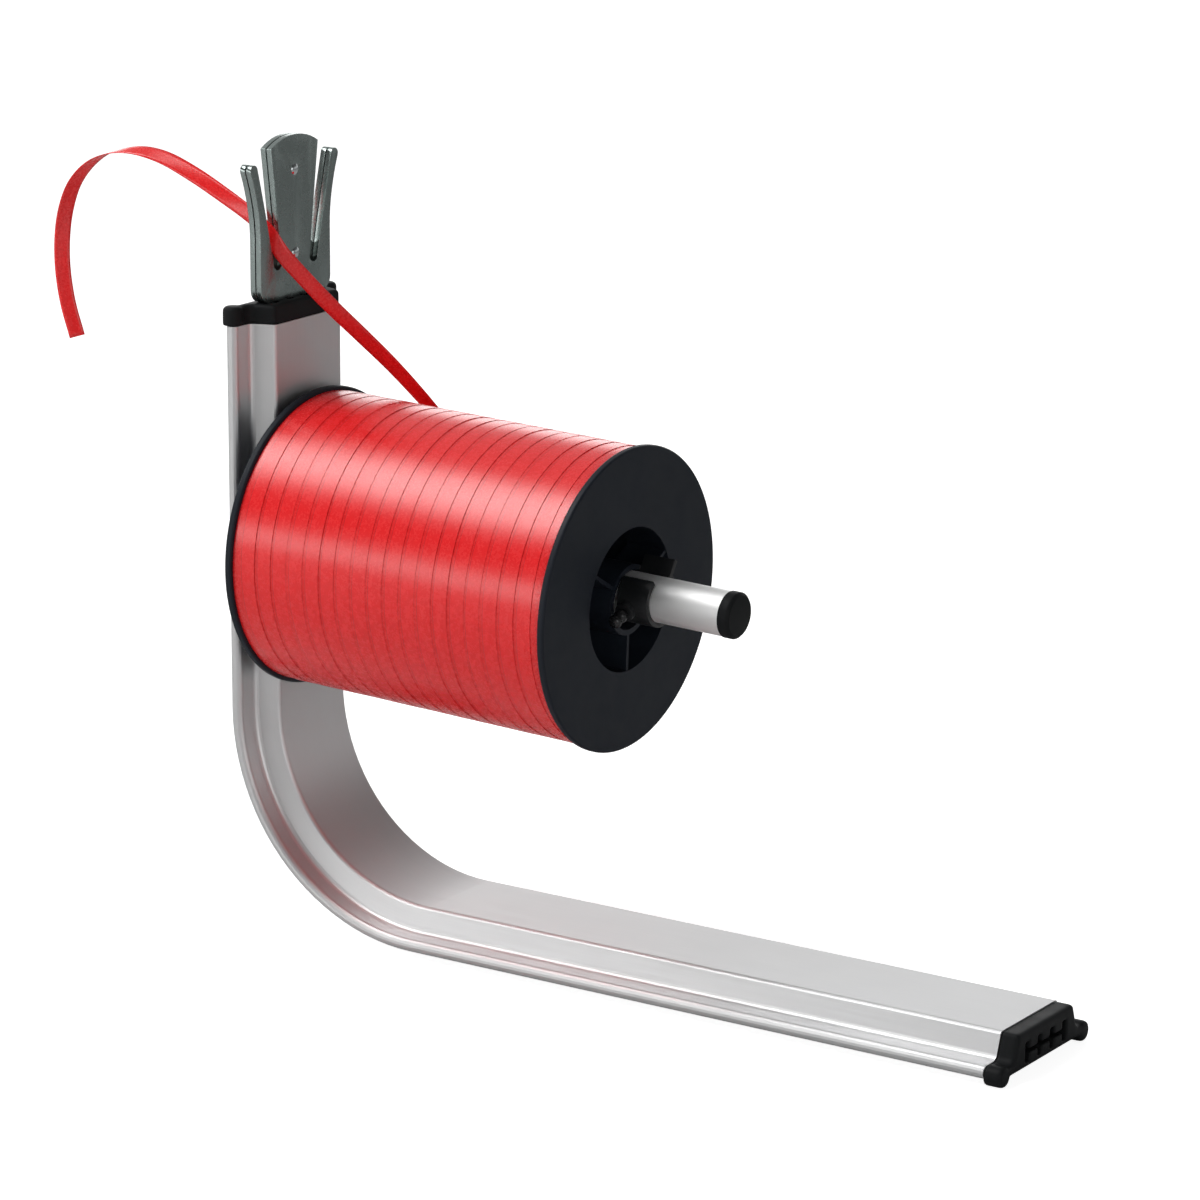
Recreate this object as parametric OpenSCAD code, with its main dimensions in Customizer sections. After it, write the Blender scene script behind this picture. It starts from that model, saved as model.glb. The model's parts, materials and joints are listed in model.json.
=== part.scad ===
/* [Aluminium profile] */
// Width over both side flanges
profile_w = 55; // [48:1:70]
// Height from the flat back to the crown
profile_h = 12; // [11:0.5:16]
// Width of the flat crown
crown_w = 35; // [30:1:42]
// Thickness of the side flanges
flange_t = 4; // [3:0.5:5]
// Rounding of the crown's two edges
crown_r = 1.5; // [0.5:0.25:2.5]
// Radius of the cove between a flange and the crown's side
cove_r = 2.5; // [1:0.25:3.5]
// How far each side of the crown slopes outwards at its foot
crown_draft = 1.5; // [0.5:0.25:2.5]
// Wall around the hollow
profile_wall = 2; // [1.5:0.25:2.5]

/* [Frame] */
// Length of the foot, from the back of the upright
foot_len = 273; // [220:1:340]
// Height of the upright above the underside of the foot
upright_h = 191; // [180:1:260]
// Outer radius of the bend
bend_r = 68.5; // [55:0.5:70]
// Height of the foot's underside above the counter
foot_h = 2.2; // [1.5:0.1:3]
// How far the rear foot pad reaches back under the bend
pad_back = 18; // [8:1:24]
// How far the rear foot pad reaches forward under the flat foot
pad_front = 16; // [8:1:40]
// Width of the rear foot pad
pad_w = 30; // [20:1:46]
// Thickness of the glue between the pad and the bend
pad_glue = 0.05; // [0.02:0.01:0.1]

/* [End caps] */
// Depth of a cap outside the profile
cap_depth = 6; // [4:0.5:9]
// Depth of a cap's plug inside the profile
plug_depth = 12; // [9:1:20]
// Rounding around the face of a cap
cap_edge_r = 1.5; // [0.5:0.25:2]
// How far a cap's outline stays inside the profile's
cap_inset = 0.3; // [0:0.1:0.8]
// Radius of the round lobes at a cap's two ends
lobe_r = 3.2; // [2.5:0.1:4]
// Clearance of the plug in the hollow
plug_clear = 0.1; // [0.05:0.05:0.2]

/* [Cutter socket] */
// Distance between the finger pockets
pocket_pitch = 7.5; // [6.5:0.25:8]
// Width of a finger pocket
pocket_w = 2.6; // [2.2:0.1:3.2]
// Height of a finger pocket, across the profile
pocket_h = 6.2; // [5.2:0.1:7]
// Width of the blade slit that joins the pockets
slit_t = 1.2; // [0.8:0.1:2]
// Clearance of a cutter finger in its pocket, each side
finger_clear = 0.15; // [0.1:0.05:0.3]

/* [Cutter] */
// Thickness of a cutter plate
plate_t = 1.9; // [1.5:0.1:2.2]
// Thickness of the blade between the plates
blade_t = 0.4; // [0.3:0.05:0.6]
// Half width of the plates above the cap
plate_half_w = 18; // [16:0.5:22]
// Rounding of the plates' lower corners
plate_corner_r = 4; // [2:0.5:5]
// Height of the tongue's peak above the cap
tongue_h = 51; // [45:1:60]
// Half width of the tongue at its top
tongue_top_w = 12.1; // [11:0.1:13]
// How far the tongue's top is arched
tongue_arch = 3.3; // [1:0.1:5]
// Height of a prong's tip above the cap
prong_h = 42.2; // [38:0.2:46]
// How far a prong's tip leans outwards
prong_flare = 4.6; // [2:0.2:6]
// Half width of a prong at its tip
prong_tip_r = 1.8; // [1.2:0.1:2.2]
// Distance of a ribbon slot's bottom from the middle
slot_y = 9.3; // [8.5:0.1:10]
// Radius of a ribbon slot's bottom
slot_r = 2.1; // [1.5:0.1:2.5]
// Height of a ribbon slot's bottom centre above the cap
slot_z = 11.6; // [9:0.2:15]
// Height of the blade's edge above the cap
blade_h = 17; // [15:0.5:18]
// Half width of the blade at its shoulders
blade_half_w = 14.5; // [13:0.1:16]
// How far the blade's edge falls towards its shoulders
blade_fall = 4.5; // [3:0.5:6]
// Clearance between the blade's shoulders and the cap
blade_clear = 0.6; // [0.3:0.1:1]
// Height of the lower rivet above the cap
rivet_low = 13.8; // [10:0.2:16]
// Height of the upper rivet above the cap
rivet_high = 40; // [34:0.2:44]
// Diameter of a rivet's shank
rivet_d = 2.4; // [2:0.1:3]
// Diameter of a rivet's domed head
rivet_head_d = 3.6; // [3:0.1:4.4]
// Height of a rivet's domed head
rivet_head_h = 0.7; // [0.4:0.1:1]

/* [Spindle] */
// Outside diameter of the spindle tube
spindle_d = 14; // [12:0.5:16]
// Wall of the spindle tube
spindle_wall = 1.5; // [1:0.1:2]
// Length of the spindle tube
spindle_len = 155.6; // [150:0.2:180]
// Height of the spindle's root above the underside of the foot
spindle_z = 123.5; // [121:0.5:135]
// Droop of the spindle under its load, in degrees
droop = 2; // [0:0.25:2.5]
// Diameter of the screw that holds the spindle
screw_d = 6; // [5:0.5:6]
// Clearance around that screw in the profile
screw_clear = 0.3; // [0.2:0.05:0.5]
// Diameter of the screw's head
screw_head_d = 10; // [9:0.5:12]
// Height of the screw's head
screw_head_h = 3.6; // [3:0.1:5]
// Width across the flats of the screw's socket
screw_key = 4; // [3:0.5:4]
// Diameter of the washer under the head
screw_washer_d = 12; // [11:0.5:16]
// Thickness of the washer under the head
screw_washer_t = 1; // [0.8:0.1:1.6]
// Wall of the sleeve that keeps the hollow from being crushed
sleeve_wall = 1.7; // [1:0.1:2.5]
// Length of the threaded insert in the tube's root
insert_len = 18; // [16:1:24]
// Clearance of the insert and the plug in the tube
insert_clear = 0.05; // [0.03:0.01:0.1]
// Diameter of the washer between the profile and the spool
thrust_d = 22; // [20:0.5:26]
// Thickness of that washer
thrust_t = 1.4; // [1:0.1:1.5]
// Running clearance of a round piece on the tube
running = 0.06; // [0.03:0.01:0.1]
// Length of the end plug's head
end_plug_len = 3.9; // [3:0.1:6]
// How far the end plug's head stands out around the tube
end_plug_lip = 0.2; // [0:0.1:0.6]
// Chamfer around the end plug's face
end_plug_chamfer = 0.9; // [0.4:0.1:1.5]
// Length of the end plug's stem
end_plug_stem = 12; // [8:1:20]

/* [Spool] */
// Diameter of the spool's flanges
spool_d = 95; // [80:1:97]
// Length of the spool over both flanges
spool_len = 118.5; // [100:0.5:119]
// Thickness of a flange
spool_flange_t = 2.4; // [1.8:0.1:3.5]
// Rounding of a flange's rim
spool_rim_r = 0.7; // [0.3:0.1:0.9]
// Diameter of the wide bore in a flange
spool_bore_d = 45; // [40:1:50]
// Wall of the spigot that carries the core
spigot_wall = 1.8; // [1.5:0.1:2.5]
// Length of the spigot inside the core
spigot_len = 12; // [8:1:20]
// Wall of the core tube
core_wall = 1.6; // [1.2:0.1:2.5]
// Diameter of the hub's hole
hub_hole_d = 18.7; // [18:0.1:19.5]
// Wall of the hub
hub_wall = 1.7; // [1.2:0.1:2.5]
// Length of the hub
hub_len = 20; // [12:1:30]
// Thickness of a hub rib
rib_t = 1.2; // [0.8:0.1:2]
// Number of hub ribs
rib_count = 3; // [3:1:6]
// Clearance between two spool parts that plug together
spool_fit = 0.05; // [0.03:0.01:0.1]
// Diameter of the wound ribbon
winding_d = 92.4; // [60:0.2:92.6]
// Depth of the shallow waves along the winding
winding_wave = 0.15; // [0:0.05:0.2]

/* [Spool stop] */
// Length of the stop along the spindle
stop_len = 10.8; // [9:0.2:14]
// Gap between the spool and the stop
stop_gap = 0.5; // [0.3:0.1:1]
// Wall of the stop's sleeve
stop_wall = 1.5; // [1.2:0.1:2.5]
// Angle at which the sleeve's rear lip ends, from level
stop_rear_angle = 60; // [40:1:70]
// Angle at which the sleeve's front lip ends, from level
stop_front_angle = 127; // [110:1:140]
// Thickness of the finger ear
ear_t = 1.6; // [1.2:0.1:2.4]
// How far the ear stands out from the spindle's axis
ear_reach = 13; // [11:0.5:16]
// Direction of the locking screw, from level
lock_angle = 200; // [185:1:225]
// Place of the locking screw along the stop
lock_at = 3.4; // [3.2:0.1:6]
// Diameter of the boss around the locking screw
boss_d = 6; // [5.6:0.2:7]
// Reach of the boss from the spindle's axis
boss_reach = 10.2; // [9.4:0.1:11]
// Diameter of the locking screw's shank
lock_d = 3; // [2.5:0.1:3.4]
// Diameter of the locking screw's grip
lock_grip_d = 4.2; // [3.6:0.1:5.4]
// Reach of the locking screw's grip from the spindle's axis
lock_reach = 16.4; // [14:0.2:20]

/* [Free ribbon] */
// Width of the ribbon
ribbon_w = 5; // [3:0.5:6]
// Thickness of the ribbon's solid
ribbon_t = 0.4; // [0.3:0.1:0.6]

/* [Hidden] */
$fn = 72;
eps = 0.5;

// Level of the cutter's middle plane, above the flat back of the profile
socket_h = profile_h / 2 - 0.8;
// Half width of the crown where its side meets the cove
crown_foot = crown_w / 2 + crown_draft;
// Half width of the hollow
hollow_half = crown_w / 2 - profile_wall;
bead_r = flange_t / 2;
finger_w = pocket_w - 2 * finger_clear;
cutter_t = 2 * plate_t + blade_t;
spindle_r = spindle_d / 2;
tube_bore_r = spindle_r - spindle_wall;
// The root gap keeps the tilted pieces clear of the flat crown
root_gap = 0.05;
tube_start = spindle_r * sin(droop) + root_gap;
thrust_start = thrust_d / 2 * sin(droop) + root_gap;
spool_start = thrust_start + thrust_t + 0.35;
hub_r = hub_hole_d / 2;
// The hub hangs on the spindle, with a small gap above it
hang = hub_r - spindle_r - 0.35;
spool_end = spool_start + spool_len;
stop_start = spool_end + stop_gap;
tube_end = tube_start + spindle_len;
spigot_r = spool_bore_d / 2 + spigot_wall;
core_bore_r = spigot_r + spool_fit;
core_r = core_bore_r + core_wall;
core_span = spool_len - 2 * spool_flange_t;
washer_start = -profile_h / cos(droop) - screw_washer_d / 2 * sin(droop) - root_gap - screw_washer_t;
head_start = washer_start - screw_head_h;
head_face_r = screw_head_d / 2 - 1;
// How far the screw's head reaches behind the upright
back_reach = -head_start * cos(droop) + head_face_r * sin(droop) - profile_h;
// The origin is under the middle of the part
origin_x = (foot_len + cap_depth - back_reach) / 2;

// Route of the free ribbon, seen from the middle of its width, and the
// direction of its width at each point
ribbon_route = [
    [43, 38.7, 148], [39, 34, 154.7], [34.5, 27.5, 164.1], [29.5, 20, 174.2], [24, 12, 184.1],
    [18.5, 3.5, 194.2], [14, -3.5, 203.1], [9.2, -9.3, 211.8], [5, -11, 218.6], [-2, -11.5, 223.6],
    [-12, -11.7, 228.8], [-23, -12, 234], [-34, -13, 238.4], [-44, -14.4, 240], [-53, -16, 238.6],
    [-60, -17.6, 234.6], [-65.4, -19, 228], [-68.4, -20, 219.4], [-69.6, -20.6, 210],
    [-69.4, -20.8, 200], [-67.8, -20.6, 189.6], [-64.8, -20, 179]];
ribbon_width_dir = [
    [1, 0, 0], [0.98, 0.1, 0.15], [0.9, 0.15, 0.35], [0.8, 0.2, 0.55], [0.6, 0.2, 0.75],
    [0.4, 0.1, 0.9], [0.25, 0, 0.95], [0.1, 0, 1], [0, 0, 1], [0, 0.1, 1],
    [0.1, 0.3, 0.95], [0.1, 0.5, 0.85], [0.1, 0.75, 0.65], [0.1, 0.9, 0.35],
    [0.1, 1, 0.1], [0.2, 0.95, -0.1], [0.4, 0.9, -0.15], [0.6, 0.75, -0.1], [0.75, 0.6, 0],
    [0.82, 0.55, 0], [0.84, 0.54, 0], [0.85, 0.5, -0.1]];

function arc(c, r, a0, a1, n) =
    [for (i = [0:n]) let (a = a0 + (a1 - a0) * i / n) [c[0] + r * cos(a), c[1] + r * sin(a)]];
function bezier(p, q, r, n) =
    [for (i = [0:n]) let (t = i / n) (1 - t) * (1 - t) * p + 2 * t * (1 - t) * q + t * t * r];
function mirrored(points) = [for (i = [len(points) - 1:-1:0]) [-points[i][0], points[i][1]]];
function unit(v) = v / norm(v);

// ---- the aluminium profile's section: x is across, y is the height over its flat back
function profile_half(inset) =
    let (corner_r = max(crown_r - inset, 0.05), corner = inset + corner_r)
    concat(arc([profile_w / 2 - bead_r, bead_r], bead_r - inset, -90, 90, 8),
           arc([crown_foot + cove_r, flange_t + cove_r], cove_r + inset, 270, 190, 5),
           arc([crown_w / 2 - corner, profile_h - corner], corner_r, 8, 90, 4));

module profile_outline(inset = 0) {
    half = profile_half(inset);
    polygon(concat(half, mirrored(half)));
}

module hollow_outline(inset = 0) {
    side = hollow_half - inset;
    low = profile_wall + inset;
    high = profile_h - profile_wall - inset;
    polygon([[-side, low], [side, low], [side, high - 1], [side - 1, high],
             [1 - side, high], [-side, high - 1]]);
}

module profile_section() {
    difference() {
        profile_outline();
        hollow_outline();
    }
}

// Puts the working frame, whose origin is behind the upright at the foot's underside,
// into the part's own frame
module placed() translate([-origin_x, 0, foot_h]) children();

// A section standing across the foot, extruded along it
module along_foot() rotate([90, 0, 90]) children();

// A section lying across the upright, extruded upwards
module along_upright() rotate([0, 0, -90]) children();

// The spindle's own frame: its origin is where its axis leaves the crown, and
// Z here runs along the spindle, Y across it and X downwards
module on_spindle(at = 0) {
    translate([profile_h, 0, spindle_z]) rotate([0, 90 + droop, 0]) translate([0, 0, at]) children();
}

module frame_profile() {
    color("gainsboro") placed() difference() {
        union() {
            translate([bend_r, 0, 0]) along_foot()
                linear_extrude(foot_len - bend_r) profile_section();
            translate([bend_r, 0, bend_r]) rotate([90, 0, 0]) rotate([0, 0, 180])
                rotate_extrude(angle = 90) translate([bend_r, 0]) rotate(90) profile_section();
            translate([0, 0, bend_r]) along_upright()
                linear_extrude(upright_h - bend_r) profile_section();
        }
        on_spindle(-profile_h - 5) cylinder(d = screw_d + 2 * screw_clear, h = profile_h + 10);
    }
}

// ---- the end caps: one moulding, used at both ends
module cap_outline(inset = 0) {
    profile_outline(cap_inset + inset);
    for (side = [-1, 1])
        translate([side * (profile_w / 2 - lobe_r), lobe_r - foot_h]) circle(r = lobe_r - inset, $fn = 36);
}

// The edge of the face is rounded in steps, each one lower and wider than the next
module cap_head() {
    steps = 3;
    flat = cap_depth - cap_edge_r;
    linear_extrude(flat) cap_outline();
    for (i = [0.5:1:steps]) {
        turn = 90 * i / steps;
        rise = cap_edge_r * sin(turn + 45 / steps);
        linear_extrude(flat + rise) cap_outline(cap_edge_r * (1 - cos(turn)));
    }
}

module cap_socket() {
    for (i = [-1.5:1:1.5])
        translate([i * pocket_pitch - pocket_w / 2, socket_h - pocket_h / 2]) square([pocket_w, pocket_h]);
    translate([-1.5 * pocket_pitch, socket_h - slit_t / 2]) square([3 * pocket_pitch, slit_t]);
}

module end_cap() {
    difference() {
        union() {
            cap_head();
            translate([0, 0, -plug_depth]) linear_extrude(plug_depth) hollow_outline(plug_clear);
        }
        translate([0, 0, -plug_depth - eps]) linear_extrude(plug_depth + cap_depth + 2 * eps) cap_socket();
    }
}

module top_end_cap() {
    color("#1c1d20") placed() translate([0, 0, upright_h]) along_upright() end_cap();
}

module foot_end_cap() {
    color("#1c1d20") placed() translate([foot_len, 0, 0]) along_foot() end_cap();
}

// The rear foot follows the bend above it, so the weight of the spool stays ahead of its back edge
module rear_foot_strip() {
    color("#26272a") placed() translate([0, pad_w / 2, 0]) rotate([90, 0, 0])
        linear_extrude(pad_w) difference() {
            translate([bend_r - pad_back, -foot_h]) square([pad_back + pad_front, foot_h + bend_r / 4]);
            translate([bend_r, bend_r]) circle(r = bend_r + pad_glue, $fn = 180);
            translate([bend_r, 0]) square([pad_front + eps, bend_r]);
        }
}

// ---- the cutter: x is across, y is the height over the cap's face
// Radius of the tongue's arched top, from its width and its rise
tongue_r = (pow(tongue_top_w, 2) + pow(tongue_arch, 2)) / (2 * tongue_arch);
tongue_half_angle = asin(tongue_top_w / tongue_r);
prong_tip = [plate_half_w + prong_flare - prong_tip_r, prong_h];
tip_turn = -19;

function plate_half() =
    concat([[0, 0]],
           arc([plate_half_w - plate_corner_r, plate_corner_r], plate_corner_r, -90, 0, 6),
           bezier([plate_half_w, 20], [plate_half_w, 30],
                  prong_tip + prong_tip_r * [cos(tip_turn), sin(tip_turn)], 8),
           arc(prong_tip, prong_tip_r, tip_turn, tip_turn + 180, 8),
           bezier(prong_tip - prong_tip_r * [cos(tip_turn), sin(tip_turn)],
                  [slot_y + slot_r + 4.2, 0.72 * prong_h], [slot_y + slot_r, slot_z + 0.4], 8),
           arc([slot_y, slot_z], slot_r, 0, -180, 8),
           arc([0, tongue_h - tongue_r], tongue_r, 90 - tongue_half_angle, 90, 6));

module plate_outline() {
    half = plate_half();
    difference() {
        union() {
            polygon(concat(half, mirrored(half)));
            for (i = [-1.5:1:1.5])
                translate([i * pocket_pitch - finger_w / 2, -cap_depth - 8])
                    square([finger_w, cap_depth + 8 + eps]);
        }
        for (z = [rivet_low, rivet_high])
            translate([0, z]) circle(d = rivet_d + 0.1, $fn = 36);
    }
}

// Stands a cutter drawing on the top cap, its middle plane in the socket's
module on_cap(at) {
    placed() translate([socket_h + at, 0, upright_h + cap_depth]) rotate([90, 0, 90]) children();
}

module cutter_front_plate() {
    color("#b9bfbd") on_cap(blade_t / 2) linear_extrude(plate_t) plate_outline();
}

module cutter_rear_plate() {
    color("#b9bfbd") on_cap(-blade_t / 2 - plate_t) linear_extrude(plate_t) plate_outline();
}

module cutter_blade() {
    color("#5c6062") on_cap(-blade_t / 2) linear_extrude(blade_t) difference() {
        tang = 1.5 * pocket_pitch;
        half = [[tang, -cap_depth], [tang, blade_clear], [blade_half_w, blade_clear],
                [blade_half_w, blade_h - blade_fall], [slot_y, blade_h]];
        polygon(concat(half, mirrored(half)));
        translate([0, rivet_low]) circle(d = rivet_d + 0.1, $fn = 36);
    }
}

module cutter_rivets() {
    // The dome is a cap of this radius
    dome_r = (pow(rivet_head_d / 2, 2) + pow(rivet_head_h, 2)) / (2 * rivet_head_h);
    color("#c9cdcb") for (z = [rivet_low, rivet_high]) on_cap(0) translate([0, z, 0]) {
        translate([0, 0, -cutter_t / 2]) cylinder(d = rivet_d, h = cutter_t + 0.1, $fn = 36);
        translate([0, 0, cutter_t / 2]) intersection() {
            cylinder(d = rivet_head_d, h = rivet_head_h + eps, $fn = 36);
            translate([0, 0, rivet_head_h - dome_r]) sphere(r = dome_r, $fn = 60);
        }
    }
}

// ---- the spindle
module spindle_tube() {
    color("#d9dadb") placed() on_spindle(tube_start) difference() {
        cylinder(r = spindle_r, h = spindle_len);
        translate([0, 0, -eps]) cylinder(r = tube_bore_r, h = spindle_len + 2 * eps);
    }
}

module spindle_end_plug() {
    head_r = spindle_r + end_plug_lip;
    color("#1c1d20") placed() on_spindle(tube_end) {
        cylinder(r = head_r, h = end_plug_len - end_plug_chamfer);
        translate([0, 0, end_plug_len - end_plug_chamfer])
            cylinder(r1 = head_r, r2 = head_r - end_plug_chamfer, h = end_plug_chamfer);
        translate([0, 0, -end_plug_stem])
            cylinder(r = tube_bore_r - insert_clear, h = end_plug_stem + eps);
    }
}

module spindle_insert() {
    color("#b08d4a") placed() on_spindle(tube_start) difference() {
        cylinder(r = tube_bore_r - insert_clear, h = insert_len);
        translate([0, 0, -eps]) cylinder(d = screw_d + 2 * insert_clear, h = insert_len + 2 * eps);
    }
}

module spindle_screw() {
    key_r = screw_key / 2 / cos(30);
    color("#8e9294") placed() on_spindle(head_start) difference() {
        union() {
            rotate_extrude() polygon(concat([[0, 0]],
                arc([head_face_r, 1], 1, -90, 0, 4), [[screw_head_d / 2, screw_head_h], [0, screw_head_h]]));
            cylinder(d = screw_d, h = tube_start + insert_len - 2 - head_start);
        }
        translate([0, 0, -eps]) cylinder(r = key_r, h = 2 + eps, $fn = 6);
    }
}

module spindle_screw_washer() {
    color("#a7abad") placed() on_spindle(washer_start) difference() {
        cylinder(d = screw_washer_d, h = screw_washer_t);
        translate([0, 0, -eps]) cylinder(d = screw_d + 2 * screw_clear, h = screw_washer_t + 2 * eps);
    }
}

module spindle_crush_sleeve() {
    sleeve_r = screw_d / 2 + insert_clear + sleeve_wall;
    // The sleeve is square to the screw, so its ends stop just short of the two walls
    sleeve_len = profile_h - 2 * profile_wall - 2 * sleeve_r * sin(droop) - 2 * root_gap;
    color("#a7abad") placed() on_spindle(-profile_h / 2 / cos(droop) - sleeve_len / 2) difference() {
        cylinder(r = sleeve_r, h = sleeve_len);
        translate([0, 0, -eps]) cylinder(d = screw_d + 2 * insert_clear, h = sleeve_len + 2 * eps);
    }
}

module spindle_thrust_washer() {
    color("#e8e6df") placed() on_spindle(thrust_start) difference() {
        cylinder(d = thrust_d, h = thrust_t);
        translate([0, 0, -eps]) cylinder(r = spindle_r + running, h = thrust_t + 2 * eps);
    }
}

// ---- the spool: it hangs on the spindle, so its own axis is a little lower
module on_spool(at = 0) placed() on_spindle(spool_start + at) translate([hang, 0, 0]) children();

// One flange moulding, drawn with its outer face at 0 and its spigot upwards
module spool_flange() {
    rim_r = spool_d / 2;
    hub_outer = hub_r + hub_wall;
    rotate_extrude() polygon(concat([[spool_bore_d / 2, 0]],
        arc([rim_r - spool_rim_r, spool_rim_r], spool_rim_r, -90, 0, 4),
        arc([rim_r - spool_rim_r, spool_flange_t - spool_rim_r], spool_rim_r, 0, 90, 4),
        [[spigot_r, spool_flange_t], [spigot_r, spool_flange_t + spigot_len],
         [spool_bore_d / 2, spool_flange_t + spigot_len]]));
    difference() {
        cylinder(r = hub_outer, h = hub_len);
        translate([0, 0, -eps]) cylinder(r = hub_r, h = hub_len + 2 * eps);
    }
    rib_depth = spool_flange_t + spigot_len - 1;
    for (i = [0:rib_count - 1]) rotate([0, 0, i * 360 / rib_count])
        translate([hub_outer - hub_wall / 2, -rib_t / 2, 0.3])
            cube([spool_bore_d / 2 + spigot_wall / 2 - hub_outer + hub_wall / 2, rib_t, rib_depth]);
}

module spool_rear_flange() {
    color("#20242a") on_spool() spool_flange();
}

module spool_front_flange() {
    color("#20242a") on_spool(spool_len) rotate([180, 0, 0]) spool_flange();
}

module spool_core_tube() {
    color("#b79a70") on_spool(spool_flange_t) difference() {
        cylinder(r = core_r, h = core_span);
        translate([0, 0, -eps]) cylinder(r = core_bore_r, h = core_span + 2 * eps);
    }
}

module ribbon_winding() {
    waves = 5;
    steps = 40;
    top = [for (i = [0:steps]) [winding_d / 2 - winding_wave * (1 - cos(360 * waves * i / steps)) / 2,
                                core_span * i / steps]];
    color("#d8232a") on_spool(spool_flange_t)
        rotate_extrude() polygon(concat([[core_r, core_span], [core_r, 0]], top));
}

// ---- the stop that keeps the spool on the spindle
// Angles are counted from level at the rear, upwards, seen from the spindle's free end
module facing(angle) rotate([0, 0, 90 + angle]) children();

module stop_outline(bore_r) {
    outer_r = bore_r + stop_wall;
    gap_middle = (stop_rear_angle + stop_front_angle) / 2;
    difference() {
        circle(r = outer_r);
        polygon(concat([[0, 0]], [for (a = [stop_rear_angle, gap_middle, stop_front_angle])
            2 * outer_r * [cos(a), sin(a)]]));
    }
    rotate(stop_rear_angle) translate([bore_r + stop_wall / 2, -ear_t])
        square([ear_reach - bore_r - stop_wall / 2, ear_t]);
}

module spool_stop() {
    bore_r = spindle_r + running;
    color("#17181a") placed() on_spindle(stop_start) difference() {
        union() {
            facing(0) linear_extrude(stop_len) stop_outline(bore_r);
            translate([0, 0, lock_at]) facing(lock_angle) rotate([0, 90, 0])
                translate([0, 0, bore_r + stop_wall / 2])
                    cylinder(d = boss_d, h = boss_reach - bore_r - stop_wall / 2);
        }
        translate([0, 0, -eps]) cylinder(r = bore_r, h = stop_len + 2 * eps);
        translate([0, 0, lock_at]) facing(lock_angle) rotate([0, 90, 0])
            cylinder(d = lock_d + 2 * insert_clear, h = boss_reach + eps);
    }
}

module stop_locking_screw() {
    grip_r = lock_grip_d / 2;
    waist_r = lock_d / 2;
    grip_start = boss_reach + 0.3;
    profile = concat([[0, spindle_r + 0.05], [waist_r, spindle_r + 0.05], [waist_r, grip_start],
                      [grip_r, grip_start + 0.6], [grip_r, grip_start + 2.2],
                      [waist_r, grip_start + 2.8], [waist_r, grip_start + 3.4]],
                     arc([grip_r - 1.4, lock_reach - 1.4], 1.4, -10, 90, 6), [[0, lock_reach]]);
    color("#2a2b2e") placed() on_spindle(stop_start + lock_at) facing(lock_angle) rotate([0, 90, 0])
        rotate_extrude($fn = 48) polygon(profile);
}

// ---- the free end of the ribbon: a flat tube swept along its route
function ribbon_tangent(i) =
    unit(ribbon_route[min(i + 1, len(ribbon_route) - 1)] - ribbon_route[max(i - 1, 0)]);
function across(v, along) = unit(v - (v * along) * along);
function ribbon_ring(i) =
    let (t = ribbon_tangent(i), w = across(ribbon_width_dir[i], t), n = cross(t, w))
    [for (k = [0:7]) let (a = 22.5 + 45 * k)
        ribbon_route[i] + w * (ribbon_w / 2) * cos(a) / cos(22.5) + n * (ribbon_t / 2) * sin(a)];

module free_ribbon() {
    rings = len(ribbon_route);
    points = [for (i = [0:rings - 1]) each ribbon_ring(i)];
    sides = [for (i = [0:rings - 2]) for (k = [0:7]) let (j = (k + 1) % 8)
        each [[8 * i + k, 8 * i + j, 8 * i + 8 + j], [8 * i + k, 8 * i + 8 + j, 8 * i + 8 + k]]];
    last = 8 * (rings - 1);
    color("#d8232a") placed()
        polyhedron(points, concat([[for (k = [7:-1:0]) k]], sides, [[for (k = [0:7]) last + k]]));
}

frame_profile();
top_end_cap();
foot_end_cap();
rear_foot_strip();
cutter_front_plate();
cutter_rear_plate();
cutter_blade();
cutter_rivets();
spindle_tube();
spindle_end_plug();
spindle_insert();
spindle_screw();
spindle_screw_washer();
spindle_crush_sleeve();
spindle_thrust_washer();
spool_core_tube();
spool_front_flange();
spool_rear_flange();
ribbon_winding();
spool_stop();
stop_locking_screw();
free_ribbon();
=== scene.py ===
import json
import math

import bmesh
import bpy
from mathutils import Matrix, Vector


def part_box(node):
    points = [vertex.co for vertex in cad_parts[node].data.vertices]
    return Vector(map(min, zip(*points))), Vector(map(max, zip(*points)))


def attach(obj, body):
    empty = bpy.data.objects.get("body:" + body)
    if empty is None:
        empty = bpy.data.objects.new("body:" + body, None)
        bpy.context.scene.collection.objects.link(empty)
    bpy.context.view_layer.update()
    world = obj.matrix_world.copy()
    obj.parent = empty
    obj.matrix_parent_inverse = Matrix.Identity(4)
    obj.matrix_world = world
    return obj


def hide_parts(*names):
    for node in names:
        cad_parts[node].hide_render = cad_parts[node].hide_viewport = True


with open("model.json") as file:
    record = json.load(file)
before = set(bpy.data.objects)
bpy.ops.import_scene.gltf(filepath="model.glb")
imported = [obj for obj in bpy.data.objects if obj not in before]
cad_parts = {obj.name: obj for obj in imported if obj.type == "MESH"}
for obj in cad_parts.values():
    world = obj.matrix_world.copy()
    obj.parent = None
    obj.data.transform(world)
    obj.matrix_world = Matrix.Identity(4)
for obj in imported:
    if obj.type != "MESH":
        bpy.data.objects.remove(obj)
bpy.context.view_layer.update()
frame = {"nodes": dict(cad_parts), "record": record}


# ---- Camera
# The photograph's own view, found by fitting the profile, the spool and the caps: a long lens
# from the front right, a little above the spool.
photo_azimuth = math.radians(33.32)
photo_elevation = math.radians(14.627)
photo_roll = math.radians(0.296)
photo_place = Vector((0.7825, -1.2139, 0.4969))
photo_lens = 147.906

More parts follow.
